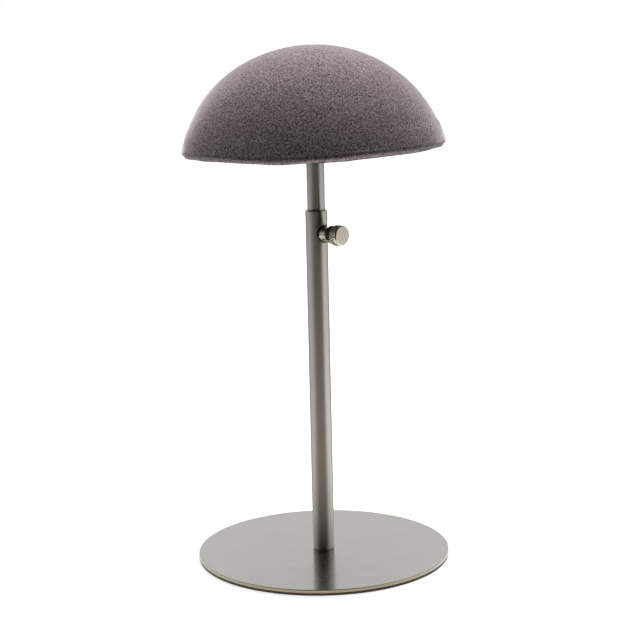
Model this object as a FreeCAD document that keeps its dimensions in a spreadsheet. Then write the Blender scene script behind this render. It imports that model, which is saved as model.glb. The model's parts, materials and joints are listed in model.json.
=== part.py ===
"""Milliners hat stand: a covered dome on a telescopic pole, held by a thumb screw, on a round plate.

Millimetres, +Z up. The origin is the centre of the face that rests on the table, the pole runs up
the Z axis, and the thumb screw points along +X.
"""
import FreeCAD, Part
import math
import operator
import os
from types import SimpleNamespace

import Sketcher

DRIVING_SIZES = {
    # base: foam ring, plate and the screw that holds the pole
    "base_diameter": 180.0,
    "base_thickness": 3.0,
    "base_edge_round": 0.5,
    "pad_thickness": 1.2,
    "pad_setback": 1.2,
    "pad_hole_diameter": 24.0,
    "foot_screw_diameter": 6.0,
    "foot_screw_length": 16.0,
    "foot_screw_head_lip": 0.25,
    "foot_screw_land": 0.25,
    "foot_screw_key": 4.0,
    "foot_screw_key_depth": 1.6,
    "screw_hole_clearance": 0.1,
    "thread_clearance": 0.05,
    "plug_length": 15.0,
    "plug_chamfer": 0.5,
    "plug_fit": 0.02,
    # pole: two tubes and the bush that guides the inner one
    "outer_tube_diameter": 15.3,
    "outer_tube_wall": 1.2,
    "outer_tube_length": 247.0,
    "tube_edge_round": 0.7,
    "inner_tube_diameter": 12.3,
    "inner_tube_wall": 1.0,
    "inner_tube_length": 219.0,
    "inner_tube_shown": 41.3,
    "bush_length": 12.0,
    "bush_spigot_length": 10.0,
    "bush_bore_diameter": 6.0,
    "bush_chamfer": 0.8,
    "bush_running_fit": 0.06,
    "bush_end_gap": 0.1,
    # clamp: boss on the outer tube and thumb screw
    "clamp_drop": 16.5,
    "boss_diameter": 9.5,
    "boss_reach": 12.2,
    "boss_chamfer": 0.4,
    "clamp_thread_diameter": 5.0,
    "clamp_thread_pitch": 0.8,
    "clamp_tip_diameter": 3.5,
    "clamp_tip_length": 1.2,
    "clamp_tip_gap": 0.1,
    "clamp_stud_in_knob": 8.0,
    "knob_gap": 1.4,
    "knob_collar_diameter": 13.2,
    "knob_collar_length": 2.4,
    "knob_flare_length": 2.8,
    "knob_diameter": 14.6,
    "knob_knurl_length": 4.9,
    "knob_knurl_depth": 0.35,
    "knob_chamfer": 0.8,
    "cut_overrun": 0.5,
    # joint between pole and head
    "head_stud_diameter": 6.0,
    "head_stud_pitch": 1.0,
    "head_stud_length": 34.0,
    "head_stud_proud": 0.8,
    "washer_diameter": 18.0,
    "washer_thickness": 1.0,
    "flange_diameter": 44.0,
    "flange_thickness": 2.0,
    "flange_nut_across": 10.0,
    "flange_nut_height": 5.0,
    "flange_screw_circle": 32.0,
    "flange_screw_diameter": 3.5,
    "flange_screw_length": 7.0,
    "flange_screw_head_diameter": 7.0,
    "flange_screw_head_height": 2.2,
    # head: lining, board, shell, padding and cover
    "head_diameter": 181.4,
    "head_height": 70.6,
    "shell_rim_round": 0.3,
    "cover_thickness": 1.2,
    "cover_turn_in": 12.0,
    "padding_thickness": 1.4,
    "shell_thickness": 2.0,
    "glue_line": 0.1,
    "board_thickness": 9.0,
    "board_fit": 0.3,
    "lining_thickness": 1.0,
}

# the dome's two arcs, as shares of the one arc that would join its crown to its rim
CROWN_RADIUS_SHARE = 1.079
SIDE_RADIUS_SHARE = 0.942
# depth of a thread's groove as a share of its pitch
THREAD_DEPTH_SHARE = 0.54
# width of a knurl's notch as a share of the room for one
KNURL_NOTCH_SHARE = 0.86

KNURL_COUNT = 44
FLANGE_SCREW_COUNT = 3
HEXAGON_SIDES = 6
FULL_TURN = 360

document = FreeCAD.newDocument("hat_stand")
size_sheet = document.addObject("Spreadsheet::Sheet", "sizes")
place_sheet = document.addObject("Spreadsheet::Sheet", "places")


class Length:
    """A number with the sheet expression that it is worked out by."""

    def __init__(self, number, text):
        self.number = number
        self.text = text

    def combine(self, other, sign, work):
        if not isinstance(other, Length):
            other = Length(other, repr(other))
        return Length(work(self.number, other.number), f"({self.text} {sign} {other.text})")

    def __add__(self, other):
        return self.combine(other, "+", operator.add)

    def __sub__(self, other):
        return self.combine(other, "-", operator.sub)

    def __mul__(self, other):
        return self.combine(other, "*", operator.mul)

    def __truediv__(self, other):
        return self.combine(other, "/", operator.truediv)

    def __neg__(self):
        return Length(-self.number, f"(-{self.text})")


ZERO = Length(0.0, "0")


def root(square):
    """The square root of a worked-out number."""
    return Length(math.sqrt(square.number), f"sqrt({square.text})")


def fill_cell(sheet, alias, content):
    """Write one named cell under the sheet's last one."""
    row = len(sheet.getUsedCells()) // 2 + 1
    sheet.set(f"A{row}", alias)
    sheet.set(f"B{row}", content)
    sheet.setAlias(f"B{row}", alias)


def place(alias, length):
    """Keep a worked-out place or size in the second sheet, under a name of its own."""
    fill_cell(place_sheet, alias, "=" + length.text)
    return Length(length.number, "places." + alias)


def driving_sizes():
    """Fill the first sheet, and give each of its sizes by name."""
    for alias, number in DRIVING_SIZES.items():
        fill_cell(size_sheet, alias, str(number))
    return {alias: Length(number, "sizes." + alias) for alias, number in DRIVING_SIZES.items()}


size = SimpleNamespace(**driving_sizes())
document.recompute()

# heights above the table
plate_top = place("plate_top", size.pad_thickness + size.base_thickness)
tube_mouth = place("tube_mouth", plate_top + size.outer_tube_length)
clamp_height = place("clamp_height", tube_mouth - size.clamp_drop)
inner_tube_top = place("inner_tube_top", tube_mouth + size.inner_tube_shown)
inner_tube_foot = place("inner_tube_foot", inner_tube_top - size.inner_tube_length)
lining_bottom = place("lining_bottom", inner_tube_top + size.washer_thickness)
cover_bottom = place("cover_bottom", lining_bottom + size.lining_thickness)
board_top = place("board_top", cover_bottom + size.glue_line + size.board_thickness)
flange_top = place("flange_top", board_top + size.flange_thickness)
head_stud_top = place("head_stud_top", flange_top + size.flange_nut_height + size.head_stud_proud)

# radii that more than one piece follows
base_radius = place("base_radius", size.base_diameter / 2)
outer_tube_radius = place("outer_tube_radius", size.outer_tube_diameter / 2)
outer_tube_bore = place("outer_tube_bore", outer_tube_radius - size.outer_tube_wall)
inner_tube_radius = place("inner_tube_radius", size.inner_tube_diameter / 2)
inner_tube_bore = place("inner_tube_bore", inner_tube_radius - size.inner_tube_wall)
foot_thread_radius = place("foot_thread_radius", size.foot_screw_diameter / 2)
clamp_thread_radius = place("clamp_thread_radius", size.clamp_thread_diameter / 2)
head_thread_radius = place("head_thread_radius", size.head_stud_diameter / 2)
knob_radius = place("knob_radius", size.knob_diameter / 2)


def corner(across, up, bend=None):
    """A corner of an outline. The side that leaves it is straight, or bends about a centre."""
    return SimpleNamespace(across=across, up=up, bend=bend)


def arc_about(radius, across, up):
    """An arc of this radius about this centre, under half a turn."""
    return SimpleNamespace(radius=radius, across=across, up=up)


def origin_plane(body, role):
    return next(feature for feature in body.Origin.OriginFeatures if feature.Role == role)


def new_sketch(body, name, role, offset=None):
    """A sketch on one of the body's own planes, or beside it by the offset."""
    sketch = body.newObject("Sketcher::SketchObject", name)
    sketch.AttachmentSupport = [(origin_plane(body, role), "")]
    sketch.MapMode = "FlatFace"
    if offset is not None:
        sketch.setExpression("AttachmentOffset.Base.z", offset.text)
    return sketch


def side_of(start, end):
    """The curve from one corner to the next, and which of its ends is the first corner."""
    first = FreeCAD.Vector(start.across.number, start.up.number, 0)
    last = FreeCAD.Vector(end.across.number, end.up.number, 0)
    if start.bend is None:
        return Part.LineSegment(first, last), 1
    centre = FreeCAD.Vector(start.bend.across.number, start.bend.up.number, 0)
    circle = Part.Circle(centre, FreeCAD.Vector(0, 0, 1), start.bend.radius.number)
    angles = [math.atan2((point - centre).y, (point - centre).x) for point in (first, last)]
    sweep = (angles[1] - angles[0]) % math.tau
    if sweep < math.pi:
        return Part.ArcOfCircle(circle, angles[0], angles[0] + sweep), 1
    return Part.ArcOfCircle(circle, angles[1], angles[1] + math.tau - sweep), 2


def fix_point(sketch, curve, end, across, up):
    """Hold a point of a curve at its distances from the sketch's origin."""
    for axis, kind, length in ((-2, "DistanceX", across), (-1, "DistanceY", up)):
        if length is ZERO:
            sketch.addConstraint(Sketcher.Constraint("PointOnObject", curve, end, axis))
            continue
        rule = Sketcher.Constraint(kind, -1, 1, curve, end, length.number)
        index = sketch.addConstraint(rule)
        sketch.setExpression(f"Constraints[{index}]", length.text)


def fix_radius(sketch, curve, radius):
    index = sketch.addConstraint(Sketcher.Constraint("Radius", curve, radius.number))
    sketch.setExpression(f"Constraints[{index}]", radius.text)


def draw_outline(sketch, corners):
    """Close the outline through its corners, each held in place, and each arc by its radius."""
    starts = []
    for index, start in enumerate(corners):
        curve, first_end = side_of(start, corners[(index + 1) % len(corners)])
        sketch.addGeometry(curve, False)
        starts.append(first_end)
    for index, start in enumerate(corners):
        following = (index + 1) % len(corners)
        last_end = 3 - starts[index]
        joined = Sketcher.Constraint("Coincident", index, last_end, following, starts[following])
        sketch.addConstraint(joined)
        fix_point(sketch, index, starts[index], start.across, start.up)
        if start.bend is not None:
            fix_radius(sketch, index, start.bend.radius)


def draw_circle(sketch, across, up, radius):
    centre = FreeCAD.Vector(across.number, up.number, 0)
    sketch.addGeometry(Part.Circle(centre, FreeCAD.Vector(0, 0, 1), radius.number), False)
    fix_point(sketch, 0, 3, across, up)
    fix_radius(sketch, 0, radius)


def turned(name, corners, axis="V_Axis"):
    """A body turned about its own Z axis, or about X with the sketch's H_Axis."""
    body = document.addObject("PartDesign::Body", name)
    profile = new_sketch(body, name + "_profile", "XZ_Plane")
    draw_outline(profile, corners)
    turn = body.newObject("PartDesign::Revolution", name + "_turn")
    turn.Profile = profile
    turn.ReferenceAxis = (profile, [axis])
    turn.Angle = FULL_TURN
    return body


def cut_pocket(body, sketch, depth, reversed_side):
    pocket = body.newObject("PartDesign::Pocket", sketch.Name + "_cut")
    pocket.Profile = sketch
    pocket.setExpression("Length", depth.text)
    pocket.Reversed = reversed_side
    return pocket


def repeat_round(body, feature, sketch, count):
    """Repeat a cut about the normal of its own sketch."""
    pattern = body.newObject("PartDesign::PolarPattern", feature.Name + "_round")
    pattern.Originals = [feature]
    pattern.Axis = (sketch, ["N_Axis"])
    pattern.Angle = FULL_TURN
    pattern.Occurrences = count
    body.Tip = pattern


def part_cylinder(name, radius, height):
    cylinder = document.addObject("Part::Cylinder", name)
    cylinder.setExpression("Radius", radius.text)
    cylinder.setExpression("Height", height.text)
    return cylinder


def hexagon(name, across_flats, height):
    prism = document.addObject("Part::Prism", name)
    prism.Polygon = HEXAGON_SIDES
    prism.setExpression("Circumradius", f"{across_flats.text} / sqrt(3)")
    prism.setExpression("Height", height.text)
    return prism


def part_cut(name, base, tool):
    cut = document.addObject("Part::Cut", name)
    cut.Base = base
    cut.Tool = tool
    return cut


def put(thing, z, x=ZERO, y=ZERO):
    """Place a piece from the origin."""
    for letter, length in (("x", x), ("y", y), ("z", z)):
        if length is not ZERO:
            thing.setExpression("Placement.Base." + letter, length.text)
    return thing


def ring(name, outer, inner, height):
    """A plain turned ring that stands on its own origin."""
    corners = [corner(inner, ZERO), corner(outer, ZERO), corner(outer, height), corner(inner, height)]
    return turned(name, corners)


def grooved(start, radius, pitch, count):
    """Corners of a shank with evenly spaced V grooves, as (distance along, radius)."""
    floor = radius - pitch * THREAD_DEPTH_SHARE
    corners = []
    for index in range(count):
        groove_start = start + pitch * index
        corners += [(groove_start, radius), (groove_start + pitch / 2, floor)]
    corners.append((start + pitch * count, radius))
    return corners


def make_base_pad():
    outer = base_radius - size.pad_setback
    return ring("base_pad", outer, size.pad_hole_diameter / 2, size.pad_thickness)


foot_screw_head_height = place("foot_screw_head_height", size.base_thickness - size.foot_screw_land)
foot_screw_head_radius = place(
    "foot_screw_head_radius",
    foot_thread_radius + foot_screw_head_height - size.foot_screw_head_lip,
)


def make_base_plate():
    """Both edges of the rim rounded, and a hole countersunk from below."""
    hole = foot_thread_radius + size.screw_hole_clearance
    sunk = foot_screw_head_radius + size.screw_hole_clearance
    inset = base_radius - size.base_edge_round
    shoulder = size.base_thickness - size.base_edge_round
    lower_round = arc_about(size.base_edge_round, inset, size.base_edge_round)
    upper_round = arc_about(size.base_edge_round, inset, shoulder)
    plate = turned("base_plate", [
        corner(sunk, ZERO),
        corner(inset, ZERO, lower_round),
        corner(base_radius, size.base_edge_round),
        corner(base_radius, shoulder, upper_round),
        corner(inset, size.base_thickness),
        corner(hole, size.base_thickness),
        corner(hole, foot_screw_head_height),
        corner(sunk, size.foot_screw_head_lip),
    ])
    return put(plate, size.pad_thickness)


def make_foot_screw():
    """Countersunk screw, its head level with the plate's underside."""
    blank = turned("foot_screw_blank", [
        corner(ZERO, ZERO),
        corner(foot_screw_head_radius, ZERO),
        corner(foot_screw_head_radius, size.foot_screw_head_lip),
        corner(foot_thread_radius, foot_screw_head_height),
        corner(foot_thread_radius, size.foot_screw_length - size.plug_chamfer),
        corner(foot_thread_radius - size.plug_chamfer, size.foot_screw_length),
        corner(ZERO, size.foot_screw_length),
    ])
    key_depth = size.foot_screw_key_depth + size.cut_overrun
    socket = put(hexagon("foot_screw_socket", size.foot_screw_key, key_depth), -size.cut_overrun)
    return put(part_cut("foot_screw", blank, socket), size.pad_thickness)


def threaded_plug(name, bore_of_tube, thread_radius):
    """A plug with chamfered ends and a threaded hole, pressed into a tube."""
    outer = bore_of_tube - size.plug_fit
    hole = thread_radius + size.thread_clearance
    return turned(name, [
        corner(hole, ZERO),
        corner(outer - size.plug_chamfer, ZERO),
        corner(outer, size.plug_chamfer),
        corner(outer, size.plug_length - size.plug_chamfer),
        corner(outer - size.plug_chamfer, size.plug_length),
        corner(hole, size.plug_length),
    ])


def make_foot_plug():
    return put(threaded_plug("foot_plug", outer_tube_bore, foot_thread_radius), plate_top)


def tube(name, outer, bore, length):
    """A tube cut square at the foot and rounded at the mouth."""
    shoulder = length - size.tube_edge_round
    mouth_round = arc_about(size.tube_edge_round, outer - size.tube_edge_round, shoulder)
    return turned(name, [
        corner(bore, ZERO),
        corner(outer, ZERO),
        corner(outer, shoulder, mouth_round),
        corner(outer - size.tube_edge_round, length),
        corner(bore, length),
    ])


def make_outer_tube():
    """The lower tube, with a hole for the thumb screw through its +X side."""
    body = tube("outer_tube", outer_tube_radius, outer_tube_bore, size.outer_tube_length)
    hole = new_sketch(body, "clamp_hole", "YZ_Plane")
    up = size.outer_tube_length - size.clamp_drop
    draw_circle(hole, ZERO, up, clamp_thread_radius + size.screw_hole_clearance)
    cut_pocket(body, hole, outer_tube_radius + size.cut_overrun, True)
    return put(body, plate_top)


def make_clamp_boss():
    """A round boss whose foot follows the outer tube, drilled for the thumb screw."""
    outer = size.boss_diameter / 2
    bore = clamp_thread_radius + size.thread_clearance
    blank = turned("clamp_boss_blank", [
        corner(ZERO, bore),
        corner(size.boss_reach, bore),
        corner(size.boss_reach, outer - size.boss_chamfer),
        corner(size.boss_reach - size.boss_chamfer, outer),
        corner(ZERO, outer),
    ], "H_Axis")
    saddle = part_cylinder("clamp_boss_saddle", outer_tube_radius, size.boss_diameter * 2)
    put(saddle, -size.boss_diameter)
    return put(part_cut("clamp_boss", blank, saddle), clamp_height)


clamp_tip = place("clamp_tip", inner_tube_radius + size.clamp_tip_gap)
knob_back = place("knob_back", size.boss_reach + size.knob_gap)
clamp_stud_end = place("clamp_stud_end", knob_back + size.clamp_stud_in_knob)


def make_clamp_stud():
    """The thumb screw's threaded shank, from its tip at the inner tube into the knob."""
    tip_radius = size.clamp_tip_diameter / 2
    tip_shoulder = clamp_tip + size.clamp_tip_length
    thread_start = tip_shoulder + clamp_thread_radius - tip_radius
    threaded = clamp_stud_end.number - thread_start.number
    count = int(threaded / size.clamp_thread_pitch.number)
    thread = grooved(thread_start, clamp_thread_radius, size.clamp_thread_pitch, count)
    stud = turned("clamp_stud", [
        corner(clamp_tip, ZERO),
        corner(clamp_tip, tip_radius),
        corner(tip_shoulder, tip_radius),
        *(corner(along, radius) for along, radius in thread),
        corner(clamp_stud_end, clamp_thread_radius - size.thread_clearance),
        corner(clamp_stud_end, ZERO),
    ], "H_Axis")
    return put(stud, clamp_height)


def make_clamp_knob():
    """The thumb screw's head: collar, flare, knurled grip and chamfered face."""
    bore = clamp_thread_radius + size.thread_clearance
    bore_end = clamp_stud_end + size.thread_clearance
    collar = size.knob_collar_diameter / 2
    collar_end = knob_back + size.knob_collar_length
    knurl_start = collar_end + size.knob_flare_length
    knurl_end = knurl_start + size.knob_knurl_length
    rise = knob_radius - collar
    flare_radius = (size.knob_flare_length * size.knob_flare_length + rise * rise) / (rise * 2)
    body = turned("clamp_knob", [
        corner(knob_back, bore),
        corner(knob_back, collar - size.knob_chamfer),
        corner(knob_back + size.knob_chamfer, collar),
        corner(collar_end, collar, arc_about(flare_radius, collar_end, collar + flare_radius)),
        corner(knurl_start, knob_radius),
        corner(knurl_end, knob_radius),
        corner(knurl_end + size.knob_chamfer, knob_radius - size.knob_chamfer),
        corner(knurl_end + size.knob_chamfer, ZERO),
        corner(bore_end, ZERO),
        corner(bore_end, bore),
    ], "H_Axis")
    notch = new_sketch(body, "knurl_notch", "YZ_Plane", knurl_start)
    half_width = knob_radius * (math.pi * KNURL_NOTCH_SHARE / KNURL_COUNT)
    draw_outline(notch, [
        corner(ZERO, knob_radius - size.knob_knurl_depth),
        corner(half_width, knob_radius),
        corner(half_width, knob_radius + size.cut_overrun),
        corner(-half_width, knob_radius + size.cut_overrun),
        corner(-half_width, knob_radius),
    ])
    notch_cut = cut_pocket(body, notch, size.knob_knurl_length + size.knob_chamfer * 2, True)
    repeat_round(body, notch_cut, notch, KNURL_COUNT)
    return put(body, clamp_height)


def make_guide_bush():
    """A collar that runs in the outer tube, and a spigot that turns in the inner one."""
    collar = outer_tube_bore - size.bush_running_fit
    spigot = inner_tube_bore - size.bush_running_fit
    bore = size.bush_bore_diameter / 2
    top = size.bush_length + size.bush_spigot_length
    bush = turned("guide_bush", [
        corner(bore, ZERO),
        corner(collar - size.bush_chamfer, ZERO),
        corner(collar, size.bush_chamfer),
        corner(collar, size.bush_length),
        corner(spigot, size.bush_length),
        corner(spigot, top - size.bush_chamfer),
        corner(spigot - size.bush_chamfer, top),
        corner(bore, top),
    ])
    return put(bush, inner_tube_foot - size.bush_end_gap - size.bush_length)


def make_inner_tube():
    body = tube("inner_tube", inner_tube_radius, inner_tube_bore, size.inner_tube_length)
    return put(body, inner_tube_foot)


def make_tube_insert():
    """The plug that takes the head's stud, level with the inner tube's end."""
    plug = threaded_plug("tube_insert", inner_tube_bore, head_thread_radius)
    return put(plug, inner_tube_top - size.plug_length)


def make_head_stud():
    """A headless screw, half in the pole and half in the flange nut."""
    lead = size.head_stud_pitch
    count = int(size.head_stud_length.number / size.head_stud_pitch.number) - 2
    thread = grooved(lead, head_thread_radius, size.head_stud_pitch, count)
    stud = turned("head_stud", [
        corner(ZERO, ZERO),
        corner(head_thread_radius - lead / 2, ZERO),
        *(corner(radius, along) for along, radius in thread),
        corner(head_thread_radius - lead / 2, size.head_stud_length),
        corner(ZERO, size.head_stud_length),
    ])
    return put(stud, head_stud_top - size.head_stud_length)


def make_head_washer():
    hole = head_thread_radius + size.screw_hole_clearance
    washer = ring("head_washer", size.washer_diameter / 2, hole, size.washer_thickness)
    return put(washer, inner_tube_top)


def make_flange_nut():
    """A flange plate with screw holes and a hexagon nut welded on."""
    bore = head_thread_radius + size.thread_clearance
    plate = ring("flange_plate", size.flange_diameter / 2, bore, size.flange_thickness)
    hole = new_sketch(plate, "flange_hole", "XY_Plane")
    hole_radius = size.flange_screw_diameter / 2 + size.screw_hole_clearance
    draw_circle(hole, size.flange_screw_circle / 2, ZERO, hole_radius)
    hole_cut = cut_pocket(plate, hole, size.flange_thickness + size.cut_overrun, True)
    repeat_round(plate, hole_cut, hole, FLANGE_SCREW_COUNT)
    blank = put(
        hexagon("flange_nut_blank", size.flange_nut_across, size.flange_nut_height),
        size.flange_thickness,
    )
    drill = part_cylinder("flange_nut_drill", bore, size.flange_thickness + size.flange_nut_height * 2)
    nut = part_cut("flange_nut_hexagon", blank, drill)
    flange = document.addObject("Part::Fuse", "flange_nut")
    flange.Base = plate
    flange.Tool = nut
    return put(flange, board_top)


def make_flange_screws():
    """Pan-head wood screws on one circle, down through the flange into the board."""
    shank = size.flange_screw_diameter / 2
    head = size.flange_screw_head_diameter / 2
    domed = arc_about(size.flange_screw_head_height, head - size.flange_screw_head_height, ZERO)
    screws = []
    for index in range(FLANGE_SCREW_COUNT):
        screw = turned(f"flange_screw_{index + 1}", [
            corner(ZERO, -size.flange_screw_length),
            corner(shank, shank - size.flange_screw_length),
            corner(shank, ZERO),
            corner(head, ZERO, domed),
            corner(head - size.flange_screw_head_height, size.flange_screw_head_height),
            corner(ZERO, size.flange_screw_head_height),
        ])
        turn = FULL_TURN * index / FLANGE_SCREW_COUNT
        reach = size.flange_screw_circle / 2
        x = Length(reach.number * math.cos(math.radians(turn)), f"{reach.text} * cos({turn})")
        y = Length(reach.number * math.sin(math.radians(turn)), f"{reach.text} * sin({turn})")
        screws.append(put(screw, flange_top, x, y))
    group = document.addObject("Part::Compound", "flange_screws")
    group.Links = screws
    return group


# the dome's section, from the cover's underside: a rim arc, a side arc and a crown arc, each
# tangent to the next, and every layer inside is the same section moved in by its depth
rim_round = place(
    "rim_round",
    size.cover_thickness + size.padding_thickness + size.glue_line * 2 + size.shell_rim_round,
)
rim_across = place("rim_across", size.head_diameter / 2 - rim_round)
rise_to_crown = place("rise_to_crown", size.head_height - rim_round)
one_arc = place(
    "one_arc",
    (rim_across * rim_across + rise_to_crown * rise_to_crown - rim_round * rim_round)
    / ((rise_to_crown - rim_round) * 2),
)
crown_radius = place("crown_radius", one_arc * CROWN_RADIUS_SHARE)
side_radius = place("side_radius", one_arc * SIDE_RADIUS_SHARE)
crown_centre = place("crown_centre", size.head_height - crown_radius)
crown_to_side = place("crown_to_side", crown_radius - side_radius)
side_to_rim = place("side_to_rim", side_radius - rim_round)
drop_to_crown = place("drop_to_crown", rim_round - crown_centre)
crown_to_rim = place(
    "crown_to_rim", root(rim_across * rim_across + drop_to_crown * drop_to_crown)
)
side_along = place(
    "side_along",
    (crown_to_side * crown_to_side - side_to_rim * side_to_rim + crown_to_rim * crown_to_rim)
    / (crown_to_rim * 2),
)
side_beside = place("side_beside", root(crown_to_side * crown_to_side - side_along * side_along))
side_across = place(
    "side_across", (rim_across * side_along - drop_to_crown * side_beside) / crown_to_rim
)
side_up = place(
    "side_up",
    crown_centre + (drop_to_crown * side_along + rim_across * side_beside) / crown_to_rim,
)

padding_depth = place("padding_depth", size.cover_thickness + size.glue_line)
shell_depth = place("shell_depth", padding_depth + size.padding_thickness + size.glue_line)
cavity_depth = place("cavity_depth", shell_depth + size.shell_thickness)


def crown_point(depth):
    return corner(ZERO, size.head_height - depth)


def crown_arc(depth):
    return arc_about(crown_radius - depth, ZERO, crown_centre)


def side_arc(depth):
    return arc_about(side_radius - depth, side_across, side_up)


def rim_arc(depth):
    return arc_about(rim_round - depth, rim_across, rim_round)


def shoulder_point(depth, bend):
    """Where the crown's arc meets the side's, at this depth under the cover."""
    reach = (crown_radius - depth) / crown_to_side
    return corner(side_across * reach, crown_centre + (side_up - crown_centre) * reach, bend)


def flank_point(depth, bend):
    """Where the side's arc meets the rim's, at this depth under the cover."""
    reach = (side_radius - depth) / side_to_rim
    across = side_across + (rim_across - side_across) * reach
    return corner(across, side_up + (rim_round - side_up) * reach, bend)


def outer_half(depth):
    """From the rim's foot over the side to the crown."""
    return [
        corner(rim_across, depth, rim_arc(depth)),
        flank_point(depth, side_arc(depth)),
        shoulder_point(depth, crown_arc(depth)),
        crown_point(depth),
    ]


def inner_half(depth):
    """From the crown back down to the rim's foot."""
    top = crown_point(depth)
    top.bend = crown_arc(depth)
    return [
        top,
        shoulder_point(depth, side_arc(depth)),
        flank_point(depth, rim_arc(depth)),
        corner(rim_across, depth),
    ]


def cavity_radius(up):
    """How far the shell's inner face stands from the axis at this height."""
    reach = side_radius - cavity_depth
    return side_across + root(reach * reach - (side_up - up) * (side_up - up))


def make_head_lining():
    """The card disc under the head, with a hole for the stud."""
    hole = head_thread_radius + size.screw_hole_clearance
    return put(ring("head_lining", rim_across, hole, size.lining_thickness), lining_bottom)


def make_head_cover():
    """The soft skin over the dome, turned under at the rim."""
    turned_under = rim_across - size.cover_turn_in
    cover = turned("head_cover", [
        corner(turned_under, ZERO),
        corner(rim_across, ZERO, rim_arc(ZERO)),
        *outer_half(ZERO)[1:],
        *inner_half(size.cover_thickness),
        corner(turned_under, size.cover_thickness),
    ])
    return put(cover, cover_bottom)


def make_head_padding():
    """Foam between shell and cover, round to the shell's foot."""
    outline = outer_half(padding_depth) + inner_half(padding_depth + size.padding_thickness)
    return put(turned("head_padding", outline), cover_bottom)


def make_head_shell():
    """The moulded dome, open below."""
    top = crown_point(cavity_depth)
    top.bend = crown_arc(cavity_depth)
    shell = turned("head_shell", [
        corner(cavity_radius(shell_depth), shell_depth),
        *outer_half(shell_depth),
        top,
        shoulder_point(cavity_depth, side_arc(cavity_depth)),
    ])
    return put(shell, cover_bottom)


def make_head_board():
    """Plywood disc: its lip carries the shell, and a rebate below clears the turned-under cover."""
    hole = head_thread_radius + size.screw_hole_clearance
    top = size.glue_line + size.board_thickness
    rebate = rim_across - size.cover_turn_in - size.board_fit
    lip_top = shell_depth - size.glue_line
    lip = rim_across - size.glue_line
    board = turned("head_board_disc", [
        corner(hole, ZERO),
        corner(rebate, ZERO),
        corner(rebate, padding_depth),
        corner(lip, padding_depth),
        corner(lip, lip_top),
        corner(cavity_radius(shell_depth) - size.board_fit, lip_top),
        corner(cavity_radius(top) - size.board_fit, top),
        corner(hole, top),
    ])
    pilot = new_sketch(board, "pilot_hole", "XY_Plane", top)
    pilot_radius = size.flange_screw_diameter / 2 + size.thread_clearance
    pilot_depth = size.flange_screw_length - size.flange_thickness + size.screw_hole_clearance
    draw_circle(pilot, size.flange_screw_circle / 2, ZERO, pilot_radius)
    pilot_cut = cut_pocket(board, pilot, pilot_depth, False)
    repeat_round(board, pilot_cut, pilot, FLANGE_SCREW_COUNT)
    board.Label = "head_board"
    return put(board, cover_bottom)


def check_model(subparts):
    """Stop if any object failed or any sub-part has no sound solid."""
    for thing in document.Objects:
        if "Invalid" in thing.State or "Error" in thing.State:
            raise RuntimeError(f"{thing.Name} failed: {thing.State}")
    for subpart in subparts:
        if subpart.Shape.isNull() or not subpart.Shape.isValid() or not subpart.Shape.Solids:
            raise RuntimeError(f"{subpart.Label} has no valid shape")


def main():
    subparts = [
        make_base_pad(),
        make_base_plate(),
        make_foot_screw(),
        make_foot_plug(),
        make_outer_tube(),
        make_clamp_boss(),
        make_clamp_stud(),
        make_clamp_knob(),
        make_guide_bush(),
        make_inner_tube(),
        make_tube_insert(),
        make_head_stud(),
        make_head_washer(),
        make_flange_nut(),
        make_flange_screws(),
        make_head_board(),
        make_head_shell(),
        make_head_padding(),
        make_head_cover(),
        make_head_lining(),
    ]
    document.recompute()
    check_model(subparts)
    os.makedirs("parts", exist_ok=True)
    for subpart in subparts:
        subpart.Shape.exportStep(f"parts/{subpart.Label}.step")
        print(subpart.Label, round(subpart.Shape.Volume, 1), len(subpart.Shape.Solids))


main()
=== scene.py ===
"""A milliner's hat stand, dressed around its frame: a soft mauve dome on a brushed steel pole.

Metres, +Z up, the pole on the Z axis and the thumb screw along +X. Each new surface is a grid of
points worked out with numpy from two parameters, usually a place along a section and a turn about
an axis. It stands where its CAD node is, and only the head's pieces lean a little from there.
"""

import json
import math

import bmesh
import bpy
import numpy as np
from mathutils import Matrix, Vector


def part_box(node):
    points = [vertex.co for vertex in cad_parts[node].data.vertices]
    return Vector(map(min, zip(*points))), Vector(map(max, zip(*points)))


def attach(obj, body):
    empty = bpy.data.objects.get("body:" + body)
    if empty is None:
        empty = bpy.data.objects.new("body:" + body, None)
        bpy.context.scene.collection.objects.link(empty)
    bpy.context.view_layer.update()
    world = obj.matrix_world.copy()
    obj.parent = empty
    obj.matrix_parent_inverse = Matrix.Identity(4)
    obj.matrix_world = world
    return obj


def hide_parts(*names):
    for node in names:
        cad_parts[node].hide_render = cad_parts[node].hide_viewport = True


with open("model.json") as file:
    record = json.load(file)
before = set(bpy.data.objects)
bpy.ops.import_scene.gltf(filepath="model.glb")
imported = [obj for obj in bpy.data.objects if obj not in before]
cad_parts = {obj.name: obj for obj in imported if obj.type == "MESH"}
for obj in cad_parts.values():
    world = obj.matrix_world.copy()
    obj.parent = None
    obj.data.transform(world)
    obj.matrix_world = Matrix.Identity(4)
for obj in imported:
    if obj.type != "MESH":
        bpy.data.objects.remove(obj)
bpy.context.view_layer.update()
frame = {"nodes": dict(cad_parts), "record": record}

MM = 0.001

# The camera, as fitted to the photograph's 640 by 640 frame
FRAME_WIDTH = 640.0
FOCAL_PIXELS = 1933.9
SENSOR_WIDTH = 36.0
CAMERA_TURN = math.radians(43.5)
CAMERA_DISTANCE = 1.3351
CAMERA_HEIGHT = 0.4533
CAMERA_PITCH = math.radians(11.883)
CAMERA_PAN = math.radians(0.039)
CAMERA_ROLL = math.radians(1.294)
CAMERA_REACH = 50.0

TOWARDS_CAMERA = Vector((math.sin(CAMERA_TURN), -math.cos(CAMERA_TURN), 0.0))
CAMERA_RIGHT = Vector((math.cos(CAMERA_TURN), math.sin(CAMERA_TURN), 0.0))


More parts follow.
